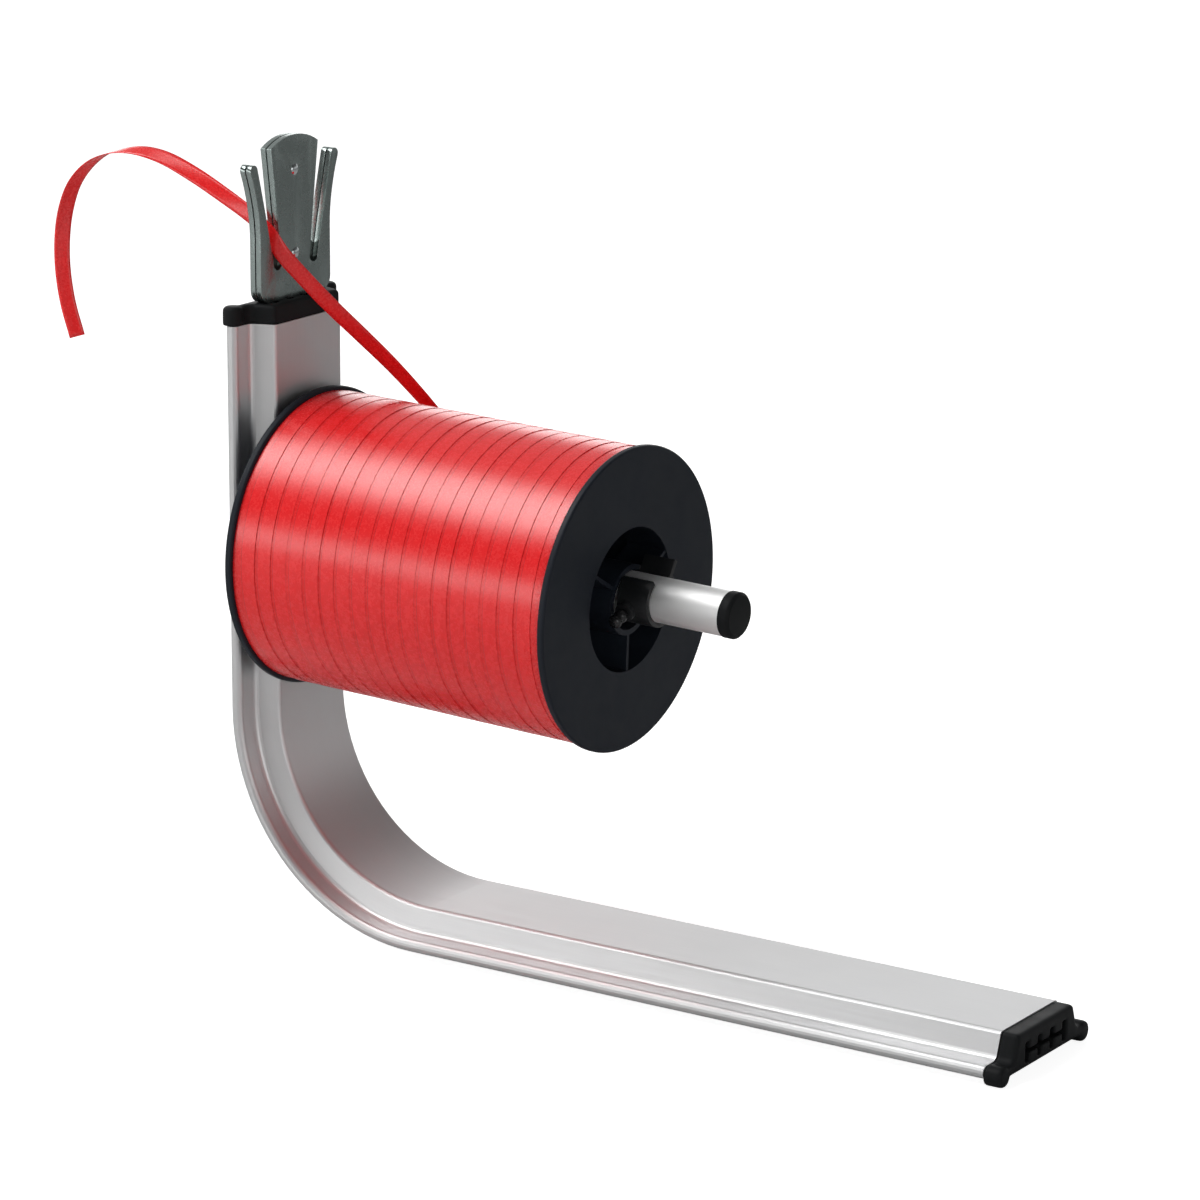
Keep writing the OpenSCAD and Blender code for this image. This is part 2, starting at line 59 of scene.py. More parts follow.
towards_camera = Vector((
    math.sin(photo_azimuth) * math.cos(photo_elevation),
    -math.cos(photo_azimuth) * math.cos(photo_elevation),
    math.sin(photo_elevation),
))
level_right = Vector((math.cos(photo_azimuth), math.sin(photo_azimuth), 0))
level_up = towards_camera.cross(level_right)
camera_right = level_right * math.cos(photo_roll) + level_up * math.sin(photo_roll)
camera_up = level_up * math.cos(photo_roll) - level_right * math.sin(photo_roll)

camera_data = bpy.data.cameras.new("camera")
camera_data.sensor_width = 36
camera_data.lens = photo_lens
camera_data.clip_start = 0.05
camera_data.clip_end = 60
camera = bpy.data.objects.new("camera", camera_data)
camera.matrix_world = Matrix.Translation(photo_place) @ Matrix(
    (camera_right, camera_up, towards_camera)).transposed().to_4x4()
bpy.context.scene.collection.objects.link(camera)
bpy.context.scene.camera = camera
bpy.context.scene.view_settings.view_transform = "Standard"


# ---- Free end of the ribbon
# Ordinary curling ribbon, 5 mm wide: polypropylene film with a fine embossed grain. It leaves the
# far side of the winding, runs up through the left slot of the cutter and hangs down behind in
# the curl that the last cut gave it.
MM = 0.001
ribbon_width = 5.0 * MM
ribbon_thickness = 0.15 * MM
# The route starts at the corner where the profile's back meets the foot's underside
back_corner = Vector((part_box("frame_profile")[0].x, 0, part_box("frame_profile")[0].z))
ribbon_route = [back_corner + Vector(p) for p in (
    (0.0430, 0.0387, 0.1480), (0.0390, 0.0340, 0.1547), (0.0345, 0.0275, 0.1641),
    (0.0295, 0.0200, 0.1742), (0.0240, 0.0120, 0.1841), (0.0185, 0.0035, 0.1942),
    (0.0140, -0.0035, 0.2031), (0.0092, -0.0093, 0.2118), (0.0050, -0.0110, 0.2186),
    (-0.0020, -0.0115, 0.2236), (-0.0120, -0.0117, 0.2288), (-0.0230, -0.0120, 0.2340),
    (-0.0340, -0.0130, 0.2384), (-0.0440, -0.0144, 0.2400), (-0.0530, -0.0160, 0.2386),
    (-0.0600, -0.0176, 0.2346), (-0.0654, -0.0190, 0.2280), (-0.0684, -0.0200, 0.2194),
    (-0.0696, -0.0206, 0.2100), (-0.0694, -0.0208, 0.2000), (-0.0678, -0.0206, 0.1896),
    (-0.0648, -0.0200, 0.1790))]
# Which way the ribbon's width points at each of those places
ribbon_width_ways = [Vector(w) for w in (
    (1, 0, 0), (0.98, 0.1, 0.15), (0.9, 0.15, 0.35), (0.8, 0.2, 0.55), (0.6, 0.2, 0.75),
    (0.4, 0.1, 0.9), (0.25, 0, 0.95), (0.1, 0, 1), (0, 0, 1), (0, 0.1, 1),
    (0.1, 0.3, 0.95), (0.1, 0.5, 0.85), (0.1, 0.75, 0.65), (0.1, 0.9, 0.35),
    (0.1, 1, 0.1), (0.2, 0.95, -0.1), (0.4, 0.9, -0.15), (0.6, 0.75, -0.1), (0.75, 0.6, 0),
    (0.82, 0.55, 0), (0.84, 0.54, 0), (0.85, 0.5, -0.1))]
places_between = 8
# Points across the ribbon's width: it is a little hollow, as curled ribbon is
ribbon_across = (-1.0, -0.6, 0.0, 0.6, 1.0)
ribbon_hollow = 0.12 * MM


def smooth_through(values, steps):
    """The values and, between each two, steps - 1 more on a smooth curve through them all."""
    ends = [2 * values[0] - values[1]] + values + [2 * values[-1] - values[-2]]
    found = []
    for i in range(1, len(values)):
        a, b, c, d = ends[i - 1:i + 3]
        for k in range(steps):
            t = k / steps
            found.append(0.5 * (2 * b + (c - a) * t + (2 * a - 5 * b + 4 * c - d) * t * t
                                + (3 * b - a - 3 * c + d) * t ** 3))
    return found + [values[-1]]


def new_piece(name, mesh, material):
    """A new, smoothly shaded object from that mesh, in one material."""
    mesh.materials.clear()
    mesh.materials.append(material)
    mesh.polygons.foreach_set("use_smooth", [True] * len(mesh.polygons))
    piece = bpy.data.objects.new(name, mesh)
    bpy.context.scene.collection.objects.link(piece)
    return piece


def piece_of_points(name, points, faces, material):
    """A new piece from its points and faces."""
    mesh = bpy.data.meshes.new(name)
    mesh.from_pydata([tuple(p) for p in points], [], faces)
    mesh.update()
    return new_piece(name, mesh, material)


def add_node(tree, kind, inputs=None, **settings):
    """A node of that kind; an input is given a value, or a socket to link from."""
    made = tree.nodes.new(kind)
    for key, value in settings.items():
        setattr(made, key, value)
    for key, value in (inputs or {}).items():
        if isinstance(value, bpy.types.NodeSocket):
            tree.links.new(value, made.inputs[key])
        else:
            made.inputs[key].default_value = value
    return made


def worked(tree, operation, *values):
    """What a Math node makes of those values."""
    return add_node(tree, "ShaderNodeMath", dict(enumerate(values)), operation=operation).outputs[0]


def ramp(tree, value, start, end, at_start, at_end, **settings):
    """A value that goes from at_start to at_end while another goes from start to end."""
    return add_node(tree, "ShaderNodeMapRange", {
        "Value": value, "From Min": start, "From Max": end, "To Min": at_start, "To Max": at_end},
        **settings).outputs[0]


def noise(tree, place, scale, detail, roughness=0.6):
    """Noise from 0 to 1; a higher scale gives finer noise."""
    return add_node(tree, "ShaderNodeTexNoise", {
        "Vector": place, "Scale": scale, "Detail": detail, "Roughness": roughness}).outputs["Fac"]


def bump(tree, strength, height, distance=0.1 * MM):
    """The normal of a surface with that relief."""
    return add_node(tree, "ShaderNodeBump", {
        "Strength": strength, "Distance": distance, "Height": height}).outputs[0]


def between_colors(tree, share, first, second):
    """The first colour where the share is 0, the second where it is 1."""
    color_a, color_b, color_result = 6, 7, 2
    return add_node(tree, "ShaderNodeMix", {"Factor": share, color_a: first, color_b: second},
                    data_type="RGBA").outputs[color_result]


def surface_group(name, inputs):
    """An empty node group for a finish, its inputs' sockets, and what sets its three results."""
    group = bpy.data.node_groups.new(name, "ShaderNodeTree")
    for label, kind, *default in (("Place", "Vector"), *inputs):
        socket = group.interface.new_socket(label, in_out="INPUT", socket_type="NodeSocket" + kind)
        if default:
            socket.default_value = default[0]
    for label, kind in (("Color", "Color"), ("Roughness", "Float"), ("Normal", "Vector")):
        group.interface.new_socket(label, in_out="OUTPUT", socket_type="NodeSocket" + kind)
    given = group.nodes.new("NodeGroupInput")
    result = group.nodes.new("NodeGroupOutput")

    def finish(color, roughness, normal):
        for label, socket in (("Color", color), ("Roughness", roughness), ("Normal", normal)):
            group.links.new(socket, result.inputs[label])

    return group, given.outputs, finish


def material_called(name, base_color, roughness, metallic=0.0, gloss=0.5):
    """A material with its node tree and its shader, whose plain values are set on the shader."""
    material = bpy.data.materials.new(name)
    material.use_nodes = True
    tree = material.node_tree
    shader = tree.nodes["Principled BSDF"]
    for label, value in (("Base Color", (*base_color, 1)), ("Roughness", roughness),
                         ("Metallic", metallic), ("Specular IOR Level", gloss)):
        shader.inputs[label].default_value = value
    return material, tree, shader


def finished_with(group, values, name, base_color, roughness, metallic=0.0, gloss=0.5):
    """A material whose colour, roughness and relief come from a finish's node group."""
    material, tree, shader = material_called(name, base_color, roughness, metallic, gloss)
    place = add_node(tree, "ShaderNodeTexCoord").outputs["Object"]
    finish = add_node(tree, "ShaderNodeGroup", {"Place": place, **values}, node_tree=group)
    for label, socket in (("Color", "Base Color"), ("Roughness", "Roughness"), ("Normal", "Normal")):
        tree.links.new(finish.outputs[label], shader.inputs[socket])
    return material


def embossed_film_group():
    """The grain of curling ribbon: shallow pits pressed into the film, a little under 1 mm apart."""
    group, given, finish = surface_group("embossed_film", [
        ("Depth", "Float", 0.8), ("Red", "Color"), ("Deep Red", "Color")])
    pits = noise(group, given["Place"], 1250.0, 2.5)
    clouds = noise(group, given["Place"], 420.0, 4.0)
    both = worked(group, "ADD", pits, clouds)
    share = ramp(group, both, 0.75, 1.25, 0.0, 1.0)
    finish(between_colors(group, share, given["Deep Red"], given["Red"]),
           ramp(group, both, 0.75, 1.25, 0.24, 0.30),
           bump(group, given["Depth"], pits, 0.07 * MM))
    return group


embossed_film = embossed_film_group()


def ribbon_red(name, red, deep_red, depth):
    """Red polypropylene ribbon: satin film over the embossed grain."""
    return finished_with(embossed_film, {"Depth": depth, "Red": (*red, 1), "Deep Red": (*deep_red, 1)},
                         name, red, 0.25, gloss=0.6)


free_ribbon_red = ribbon_red("free ribbon red", (1.0, 0.021, 0.023), (0.95, 0.015, 0.017), 0.2)
ribbon_centres = smooth_through(ribbon_route, places_between)
ribbon_ways = smooth_through(ribbon_width_ways, places_between)
ribbon_points = []
for i, centre in enumerate(ribbon_centres):
    onward = ribbon_centres[min(i + 1, len(ribbon_centres) - 1)] - ribbon_centres[max(i - 1, 0)]
    onward.normalize()
    wide = (ribbon_ways[i] - ribbon_ways[i].dot(onward) * onward).normalized()
    face = onward.cross(wide)
    for side, order in ((1, ribbon_across), (-1, ribbon_across[::-1])):
        for t in order:
            ribbon_points.append(centre + wide * (t * ribbon_width / 2)
                                 + face * (side * ribbon_thickness / 2 - ribbon_hollow * (1 - t * t)))
ring = 2 * len(ribbon_across)
ribbon_faces = [(ring * i + k, ring * i + (k + 1) % ring,
                 ring * (i + 1) + (k + 1) % ring, ring * (i + 1) + k)
                for i in range(len(ribbon_centres) - 1) for k in range(ring)]
ribbon_faces += [tuple(range(ring))[::-1],
                 tuple(range(len(ribbon_points) - ring, len(ribbon_points)))]
loose_ribbon = piece_of_points("loose_ribbon", ribbon_points, ribbon_faces, free_ribbon_red)
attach(loose_ribbon, "frame")
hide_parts("free_ribbon")


# ---- Aluminium profile
# One extrusion with a flat crown, a cove and a round-edged flange on each side, bent once into an
# upright and a foot. It is satin anodised, with the faint lines of the die along its length.
def drawn_anodised_group():
    """Satin anodising over die lines. The lines are noise on the height over the profile's back
    and the place across it, so that they follow the bend."""
    group, given, finish = surface_group("drawn_anodised", [
        ("Corner", "Vector"), ("Bend", "Float", 0.0685), ("Dull", "Color"), ("Bright", "Color")])
    local = add_node(group, "ShaderNodeVectorMath", {
        0: given["Place"], 1: given["Corner"]}, operation="SUBTRACT")
    parts = add_node(group, "ShaderNodeSeparateXYZ", {"Vector": local.outputs[0]}).outputs
    squares = []
    for axis in ("X", "Z"):
        short_of_bend = worked(group, "MAXIMUM", worked(group, "SUBTRACT", given["Bend"], parts[axis]), 0.0)
        squares.append(worked(group, "POWER", short_of_bend, 2.0))
    reach = worked(group, "POWER", worked(group, "ADD", *squares), 0.5)
    along = worked(group, "MULTIPLY", worked(group, "SUBTRACT", parts["X"], parts["Z"]), 0.012)
    across = add_node(group, "ShaderNodeCombineXYZ", {"X": parts["Y"], "Y": reach, "Z": along})
    lines = noise(group, across.outputs[0], 2600.0, 3.0)
    clouds = noise(group, given["Place"], 45.0, 5.0)
    finish(between_colors(group, clouds, given["Dull"], given["Bright"]),
           ramp(group, lines, 0.3, 0.7, 0.44, 0.52),
           bump(group, 0.06, lines))
    return group


def dress(node, material):
    """Gives a CAD node its material."""
    mesh = frame["nodes"][node].data
    mesh.materials.clear()
    mesh.materials.append(material)


dress("frame_profile", finished_with(
    drawn_anodised_group(), {"Corner": tuple(back_corner), "Dull": (0.665, 0.668, 0.675, 1),
                             "Bright": (0.705, 0.705, 0.705, 1)},
    "satin anodised aluminium", (0.69, 0.69, 0.69), 0.48, metallic=1.0))


# ---- End caps
# Black moulded plastic, pushed into the hollow of the profile. Each has round lobes that serve as
# feet and a socket for the cutter, used in the upright's cap and empty in the foot's.
def moulded_surface_group():
    """Moulded plastic: a fine spark-eroded grain, and colour and sheen that vary a little."""
    group, given, finish = surface_group("moulded_surface", [
        ("Deep", "Color"), ("Pale", "Color"), ("Dullness", "Float", 0.5), ("Grain", "Float", 0.1)])
    sheen = noise(group, given["Place"], 90.0, 4.0, 0.55)
    finish(between_colors(group, sheen, given["Deep"], given["Pale"]),
           worked(group, "ADD", given["Dullness"], ramp(group, sheen, 0.3, 0.7, -0.06, 0.08)),
           bump(group, given["Grain"], noise(group, given["Place"], 2400.0, 3.0)))
    return group


moulded_surface = moulded_surface_group()


def moulded(name, color, roughness, grain_depth, gloss=0.5):
    """A moulded plastic of that colour."""
    pale = tuple(1.5 * c + 0.004 for c in color)
    return finished_with(moulded_surface, {"Deep": (*color, 1), "Pale": (*pale, 1),
                                           "Dullness": roughness, "Grain": grain_depth},
                         name, color, roughness, gloss=gloss)


def merged_copy(node, name, material):
    """A new piece from a CAD node's mesh, with its loose triangles joined up again."""
    work = bmesh.new()
    work.from_mesh(frame["nodes"][node].data)
    bmesh.ops.remove_doubles(work, verts=work.verts, dist=0.001 * MM)
    bmesh.ops.dissolve_limit(work, angle_limit=math.radians(1), verts=work.verts, edges=work.edges)
    mesh = bpy.data.meshes.new(name)
    work.to_mesh(mesh)
    work.free()
    return new_piece(name, mesh, material)


def stands_for(piece, node, body):
    """The piece rides on that body in the place of a CAD node."""
    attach(piece, body)
    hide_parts(node)


def soft_moulded(node, name, grain, passes, material, body):
    """A copy of a CAD node with every edge softened, as a moulding's are."""
    piece = merged_copy(node, name, material)
    remesh = piece.modifiers.new("even mesh", "REMESH")
    remesh.mode = "VOXEL"
    remesh.voxel_size = grain
    remesh.use_smooth_shade = True
    softening = piece.modifiers.new("softening", "SMOOTH")
    softening.factor = 0.5
    softening.iterations = passes
    stands_for(piece, node, body)


cap_black = moulded("moulded black", (0.008, 0.0088, 0.0095), 0.52, 0.10, gloss=0.10)
for end in ("top", "foot"):
    soft_moulded(f"{end}_end_cap", f"{end}_cap_moulding", 0.32 * MM, 14, cap_black, "frame")


# ---- Rear foot strip
# A strip of black non-slip rubber, glued under the start of the bend. It levels the foot with the
# lobes of its cap, and is hidden in the photograph.
dress("rear_foot_strip", moulded("non-slip rubber", (0.02, 0.02, 0.021), 0.75, 0.3))


# ---- Cutter
# Two stamped steel plates, zinc plated, riveted face to face over a blade. The blade's edge
# crosses the bottom of each slot, where the ribbon is torn off.
def zinc_surface_group():
    """Plated and rolled steel: faint clouds in colour and sheen, and a fine rolled grain."""
    group, given, finish = surface_group("zinc_surface", [
        ("Dark", "Color"), ("Bright", "Color"), ("Dullness", "Float", 0.25)])
    clouds = noise(group, given["Place"], 260.0, 6.0, 0.7)
    finish(between_colors(group, clouds, given["Dark"], given["Bright"]),
           worked(group, "ADD", given["Dullness"], ramp(group, clouds, 0.3, 0.7, 0.08, -0.05)),
           bump(group, 0.18, noise(group, given["Place"], 1500.0, 4.0)))
    return group


zinc_surface = zinc_surface_group()


def plated(name, color, roughness):
    """A plated or polished metal of that colour."""
    dark = tuple(0.72 * c for c in color)
    return finished_with(zinc_surface, {"Dark": (*dark, 1), "Bright": (*color, 1), "Dullness": roughness},
                         name, color, roughness, metallic=1.0)


def rounded_edges(node, name, width, segments, material, body):
    """A copy of a CAD node with its edges rounded."""
    piece = merged_copy(node, name, material)
    rounding = piece.modifiers.new("rounding", "BEVEL")
    rounding.width = width
    rounding.segments = segments
    rounding.limit_method = "ANGLE"
    rounding.angle_limit = math.radians(40)
    rounding.harden_normals = True
    stands_for(piece, node, body)


cutter_zinc = plated("zinc plated steel", (0.35, 0.405, 0.39), 0.24)
for side in ("front", "rear"):
    rounded_edges(f"cutter_{side}_plate", f"{side}_cutter_plate", 0.75 * MM, 4, cutter_zinc, "frame")
dress("cutter_rivets", plated("polished rivet steel", (0.66, 0.70, 0.71), 0.13))
dress("cutter_blade", plated("blued blade steel", (0.20, 0.22, 0.21), 0.3))


# ---- Spindle
# A satin plated tube, closed by a black plug. A screw from behind holds it to the upright, in a
# threaded insert, and a sleeve in the profile's hollow takes the screw's pull.
tube_satin, tube_tree, tube_shader = material_called("satin plated tube", (0.94, 0.94, 0.935), 0.58, 1.0)
tube_place = add_node(tube_tree, "ShaderNodeMapping", {
    "Vector": add_node(tube_tree, "ShaderNodeTexCoord").outputs["Object"], "Scale": (0.05, 1.0, 1.0)})
tube_lines = noise(tube_tree, tube_place.outputs[0], 2200.0, 3.0)
tube_tree.links.new(ramp(tube_tree, tube_lines, 0.3, 0.7, 0.54, 0.62), tube_shader.inputs["Roughness"])
tube_tree.links.new(bump(tube_tree, 0.05, tube_lines), tube_shader.inputs["Normal"])
dress("spindle_tube", tube_satin)
rounded_edges("spindle_end_plug", "end_plug_moulding", 0.2 * MM, 2, cap_black, "frame")
dress("spindle_insert", plated("turned brass", (0.72, 0.53, 0.24), 0.3))
fastener_zinc = plated("fastener zinc", (0.60, 0.61, 0.62), 0.3)
for node in ("spindle_screw", "spindle_screw_washer", "spindle_crush_sleeve"):
    dress(node, fastener_zinc)
dress("spindle_thrust_washer", moulded("natural nylon", (0.70, 0.68, 0.62), 0.45, 0.05))


# ---- Spool
# Bluish black polystyrene: two flanges, each moulded in one with its hub and ribs, are plugged
# into the ends of a core tube.
spool_black = moulded("spool black", (0.008, 0.011, 0.017), 0.5, 0.08, gloss=0.2)
for node in ("spool_core_tube", "spool_front_flange", "spool_rear_flange"):
    dress(node, spool_black)


# ---- Winding
# Ribbon wound in layers, one turn beside the next. The outer layer is a helix of ribbon with narrow
# gaps, in which the ring of the layers below shows; each turn wanders and leans a little.
spin = next(j for j in frame["record"]["behaviour"]["joints"] if j["name"] == "spool_spin")
spool_axis = Vector(spin["axis"]).normalized()
spool_stand = Matrix.Translation(spin["pos_m"]) @ spool_axis.to_track_quat("Z", "Y").to_matrix().to_4x4()
winding_radius = 46.2 * MM
winding_length = 113.7 * MM
# The outer turns' middle lies this far over the ring of the layers below
turn_lift = 0.06 * MM
turn_count = 18
steps_per_turn = 80
turn_margin = 0.25 * MM


def wound_turns_tree():
    """A helix of flat ribbon about Z, whose turns wander along it and lean by themselves."""
    tree = bpy.data.node_groups.new("wound_turns", "GeometryNodeTree")
    tree.is_modifier = True
    for label, kind, value in (
            ("Geometry", "Geometry", None), ("Turns", "Float", 18.0), ("Steps", "Int", 1440),
            ("Radius", "Float", 0.0462), ("Length", "Float", 0.108), ("Width", "Float", 0.005),
            ("Thickness", "Float", 0.00015), ("Wander", "Float", 0.001), ("Lean", "Float", 0.03),
            ("Wave", "Float", 0.00015), ("Seed", "Float", 4.0), ("Material", "Material", None)):
        made = tree.interface.new_socket(label, in_out="INPUT", socket_type="NodeSocket" + kind)
        if value is not None:
            made.default_value = value
    tree.interface.new_socket("Geometry", in_out="OUTPUT", socket_type="NodeSocketGeometry")
    given = tree.nodes.new("NodeGroupInput").outputs
    result = tree.nodes.new("NodeGroupOutput")

    def result_of(operation, *values):
        return worked(tree, operation, *values)

    share = result_of("DIVIDE", add_node(tree, "GeometryNodeInputIndex").outputs[0], given["Steps"])
    turns_so_far = result_of("MULTIPLY", share, given["Turns"])
    angle = result_of("MULTIPLY", turns_so_far, math.tau)

    def uneven(scale, shift):
        """Noise about 0 that changes from turn to turn."""
        where = result_of("ADD", turns_so_far, result_of("ADD", given["Seed"], shift))
        wander = add_node(tree, "ShaderNodeTexNoise", {
            "W": where, "Scale": scale, "Detail": 1.0, "Roughness": 0.5}, noise_dimensions="1D")
        return result_of("SUBTRACT", wander.outputs["Fac"], 0.5)

    along = result_of("MULTIPLY_ADD", result_of("SUBTRACT", share, 0.5), given["Length"],
                   result_of("MULTIPLY", uneven(0.9, 0.0), given["Wander"]))
    waves_along = 5
    wave = result_of("SUBTRACT", 1.0, result_of("COSINE", result_of("MULTIPLY", share, waves_along * math.tau)))
    dip = result_of("MULTIPLY", wave, result_of("MULTIPLY", given["Wave"], 0.5))
    reach = result_of("SUBTRACT", given["Radius"], dip)
    line = add_node(tree, "GeometryNodeMeshLine", {"Count": result_of("ADD", given["Steps"], 1.0)})
    place = add_node(tree, "ShaderNodeCombineXYZ", {
        "X": result_of("MULTIPLY", result_of("COSINE", angle), reach),
        "Y": result_of("MULTIPLY", result_of("SINE", angle), reach), "Z": along})
    helix = add_node(tree, "GeometryNodeSetPosition", {
        "Geometry": line.outputs[0], "Position": place.outputs[0]})
    leans = add_node(tree, "GeometryNodeStoreNamedAttribute", {
        "Geometry": helix.outputs[0], "Name": "lean",
        "Value": result_of("MULTIPLY", uneven(1.1, 60.0), given["Lean"])}, data_type="FLOAT", domain="POINT")
    curve = add_node(tree, "GeometryNodeMeshToCurve", {"Mesh": leans.outputs[0]})
    upright = add_node(tree, "GeometryNodeSetCurveNormal", {"Curve": curve.outputs[0]}, mode="Z_UP")
    lean_read = add_node(tree, "GeometryNodeInputNamedAttribute", {"Name": "lean"}, data_type="FLOAT")
    tilted = add_node(tree, "GeometryNodeSetCurveTilt", {
        "Curve": upright.outputs[0], "Tilt": lean_read.outputs[0]})
    section = add_node(tree, "GeometryNodeCurvePrimitiveQuadrilateral", {
        "Width": given["Thickness"], "Height": given["Width"]})
    section_place = add_node(tree, "ShaderNodeSeparateXYZ", {
        "Vector": add_node(tree, "GeometryNodeInputPosition").outputs[0]})
    across = result_of("DIVIDE", section_place.outputs["Y"], result_of("MULTIPLY", given["Width"], 0.5))
    marked = add_node(tree, "GeometryNodeStoreNamedAttribute", {
        "Geometry": section.outputs[0], "Name": "across", "Value": across},
        data_type="FLOAT", domain="POINT")
    swept = add_node(tree, "GeometryNodeCurveToMesh", {
        "Curve": tilted.outputs[0], "Profile Curve": marked.outputs[0], "Fill Caps": True})
    real = add_node(tree, "GeometryNodeRealizeInstances", {"Geometry": swept.outputs[0]})
    coloured = add_node(tree, "GeometryNodeSetMaterial", {
        "Geometry": real.outputs[0], "Material": given["Material"]})
    tree.links.new(coloured.outputs[0], result.inputs[0])
    return tree


def made_by_nodes(name, tree, inputs, place, body):
    """Runs a node tree on an empty mesh, puts what it makes in its place and rides it on a body."""
    piece = bpy.data.objects.new(name, bpy.data.meshes.new(name))
    bpy.context.scene.collection.objects.link(piece)
    modifier = piece.modifiers.new(name, "NODES")
    modifier.node_group = tree
    for item in tree.interface.items_tree:
        if item.in_out == "INPUT" and item.name in inputs:
            modifier[item.identifier] = inputs[item.name]
    evaluated = piece.evaluated_get(bpy.context.evaluated_depsgraph_get())
    mesh = bpy.data.meshes.new_from_object(evaluated)
    piece.modifiers.remove(modifier)
    piece.data = mesh
    mesh.transform(place)
    mesh.set_sharp_from_angle(angle=math.radians(40))
    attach(piece, body)
    return piece


def wound_ribbon_red():
    """The ribbon's red, with painted shade darkening it along both edges of a turn, more along the proud edge
    than along the one pressed down.
    """
    material = ribbon_red("wound ribbon red", (0.99, 0.018, 0.021), (0.94, 0.013, 0.016), 0.35)
    tree = material.node_tree
    shader = tree.nodes["Principled BSDF"]
    film_color = shader.inputs["Base Color"].links[0].from_socket
    across = add_node(tree, "ShaderNodeAttribute", attribute_name="across").outputs["Fac"]
    # Painted shade: towards each edge of a turn the base colour turns to a dark red, standing in for the shadow
    # in the step between turns
    painted_shade_proud_edge = ramp(tree, across, 0.91, 0.98, 0.0, 0.9)
    painted_shade_pressed_edge = ramp(tree, across, -0.93, -0.99, 0.0, 0.3)
    shade = between_colors(tree, worked(tree, "ADD", painted_shade_proud_edge, painted_shade_pressed_edge),
                           film_color, (0.52, 0.006, 0.011, 1))
    tree.links.new(shade, shader.inputs["Base Color"])
    return material


outer_turns = made_by_nodes("outer_ribbon_turns", wound_turns_tree(), {
    "Turns": float(turn_count), "Steps": steps_per_turn * turn_count,
    "Radius": winding_radius + turn_lift, "Length": winding_length - ribbon_width - 2 * turn_margin,
    "Width": ribbon_width, "Thickness": ribbon_thickness, "Wander": 1.0 * MM, "Lean": 0.06,
    "Wave": 0.05 * MM, "Seed": 4.0, "Material": wound_ribbon_red()}, spool_stand, "spool")
dress("ribbon_winding", ribbon_red("lower layers red", (0.93, 0.017, 0.020), (0.87, 0.012, 0.015), 0.3))


# ---- Spool stop
# A springy sleeve of black moulded plastic, open on top, with a finger ear to slide it by. A turned
# screw with a round grip, glossy black, locks it on the spindle.
stop_black = moulded("stop black", (0.010, 0.011, 0.012), 0.36, 0.06, gloss=0.4)
rounded_edges("spool_stop", "stop_moulding", 0.25 * MM, 3, stop_black, "stop")

lock = next(j for j in frame["record"]["behaviour"]["joints"] if j["name"] == "lock_turn")
lock_turned = Vector(lock["axis"]).to_track_quat("Z", "Y").to_matrix().to_4x4()
lock_stand = Matrix.Translation(lock["pos_m"]) @ lock_turned
# Radius and distance from the spindle's axis, in mm: shank, ring, waist and rounded tip
lock_outline = [
    (0, 7.05), (1.5, 7.05), (1.5, 10.5), (2.0, 11.0), (2.1, 11.3), (2.1, 12.5), (2.0, 12.8),
    (1.5, 13.3), (1.5, 13.8), (2.0, 14.4), (2.1, 15.0), (1.94, 15.6), (1.5, 16.1),
    (0.9, 16.36), (0, 16.4)]


def turned_piece(name, outline, steps, place, material):
    """A solid of revolution about the place's Z from (radius, height) points, first and last at 0."""
    inner = outline[1:-1]
    points = [place @ Vector((0, 0, outline[0][1])), place @ Vector((0, 0, outline[-1][1]))]
    for radius, height in inner:
        points += [place @ Vector((radius * math.cos(math.tau * k / steps),
                                   radius * math.sin(math.tau * k / steps), height))
                   for k in range(steps)]
    faces = []
    for k in range(steps):
        after = (k + 1) % steps
        faces.append((0, 2 + after, 2 + k))
        for i in range(len(inner) - 1):
            low = 2 + i * steps
            faces.append((low + k, low + after, low + steps + after, low + steps + k))
        last = 2 + (len(inner) - 1) * steps
        faces.append((last + k, last + after, 1))
    piece = piece_of_points(name, points, faces, material)
    piece.data.set_sharp_from_angle(angle=math.radians(50))
    return piece


locking_grip = turned_piece("locking_screw_grip", [(r * MM, h * MM) for r, h in lock_outline], 48,
                            lock_stand, moulded("glossy black", (0.010, 0.010, 0.011), 0.2, 0.0))
stands_for(locking_grip, "stop_locking_screw", "locking_screw")


# ---- Stage and lights
# A plain pale floor under one big soft light, a low strip and a weak fill. The surround is bright
# behind, and dimmer on the right and above. Only the camera sees it and the floor as plain white.
floor_half = 9.0
floor_pale, floor_tree, floor_shader = material_called("pale floor", (0.62, 0.62, 0.62), 0.9, gloss=0.0)
floor_shader.inputs["Emission Color"].default_value = (1, 1, 1, 1)
floor_seen = add_node(floor_tree, "ShaderNodeLightPath").outputs["Is Camera Ray"]
floor_tree.links.new(worked(floor_tree, "MULTIPLY", floor_seen, 0.9),
                     floor_shader.inputs["Emission Strength"])
floor_mesh = bpy.data.meshes.new("floor")
floor_mesh.from_pydata([(-floor_half, -floor_half, 0), (floor_half, -floor_half, 0),
                        (floor_half, floor_half, 0), (-floor_half, floor_half, 0)], [], [(0, 1, 2, 3)])
floor_mesh.materials.append(floor_pale)
floor = bpy.data.objects.new("floor", floor_mesh)
bpy.context.scene.collection.objects.link(floor)

light_target = Vector((-0.06, 0, 0.12))


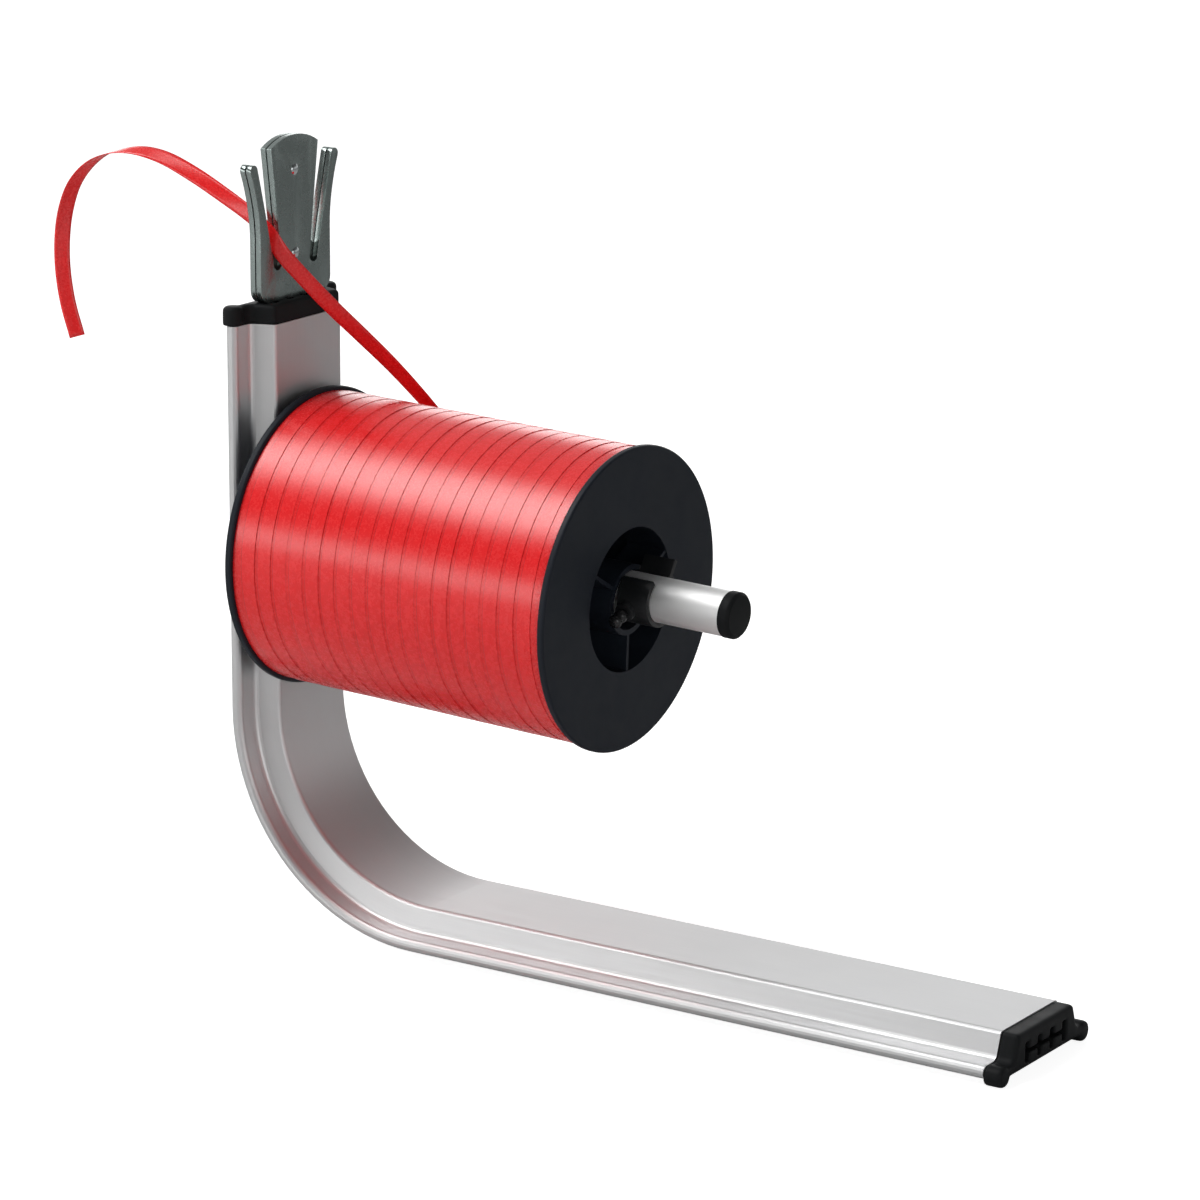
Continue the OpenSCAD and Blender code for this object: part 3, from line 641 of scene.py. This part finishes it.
def soft_light(name, way, distance, width, height, radiance, fade):
    """A soft box that faces the spool; radiance is what a mirror shows, and fade the share of its
    width and height over which it gets darker towards each edge."""
    data = bpy.data.lights.new(name, "AREA")
    data.shape = "RECTANGLE"
    data.size, data.size_y = width, height
    data.energy = radiance * math.pi * width * height
    data.use_nodes = True
    glow = data.node_tree
    place = add_node(glow, "ShaderNodeNewGeometry").outputs["Parametric"]
    parts = add_node(glow, "ShaderNodeSeparateXYZ", {"Vector": place}).outputs
    kept = []
    for axis in ("X", "Y"):
        nearest = worked(glow, "MINIMUM", parts[axis], worked(glow, "SUBTRACT", 1.0, parts[axis]))
        kept.append(ramp(glow, nearest, 0.0, fade, 0.0, 1.0, interpolation_type="SMOOTHSTEP"))
    glow.links.new(worked(glow, "MULTIPLY", *kept), glow.nodes["Emission"].inputs["Strength"])
    lamp = bpy.data.objects.new(name, data)
    back = Vector(way).normalized()
    lamp.location = light_target + back * distance
    lamp.rotation_mode = "QUATERNION"
    lamp.rotation_quaternion = back.to_track_quat("Z", "Y")
    lamp.visible_camera = False
    bpy.context.scene.collection.objects.link(lamp)


soft_light("key", (-0.44, -0.33, 0.835), 1.7, 1.5, 1.1, 8.2, 0.35)
soft_light("low strip", (-0.55, -0.83, 0.13), 1.0, 1.1, 0.24, 3.8, 0.25)
soft_light("fill", (0.8, -0.6, 0.12), 2.0, 1.6, 1.4, 2.0, 0.2)

world = bpy.data.worlds.new("studio")
bpy.context.scene.world = world
world.use_nodes = True
sky = world.node_tree
way = add_node(sky, "ShaderNodeSeparateXYZ", {
    "Vector": add_node(sky, "ShaderNodeTexCoord").outputs["Generated"]}).outputs
backdrop = ramp(sky, way["Y"], -0.35, 0.35, 0.25, 2.6, interpolation_type="SMOOTHSTEP")
dim_side = ramp(sky, way["X"], -0.4, 0.25, 1.0, 0.2, interpolation_type="SMOOTHSTEP")
dim_above = ramp(sky, way["Z"], 0.22, 0.42, 1.0, 0.2, interpolation_type="SMOOTHSTEP")
surround = worked(sky, "MULTIPLY", backdrop, worked(sky, "MULTIPLY", dim_side, dim_above))
sky_seen = add_node(sky, "ShaderNodeLightPath").outputs["Is Camera Ray"]
sky.links.new(worked(sky, "MAXIMUM", surround, sky_seen), sky.nodes["Background"].inputs["Strength"])
sky.nodes["Background"].inputs["Color"].default_value = (1, 1, 1, 1)
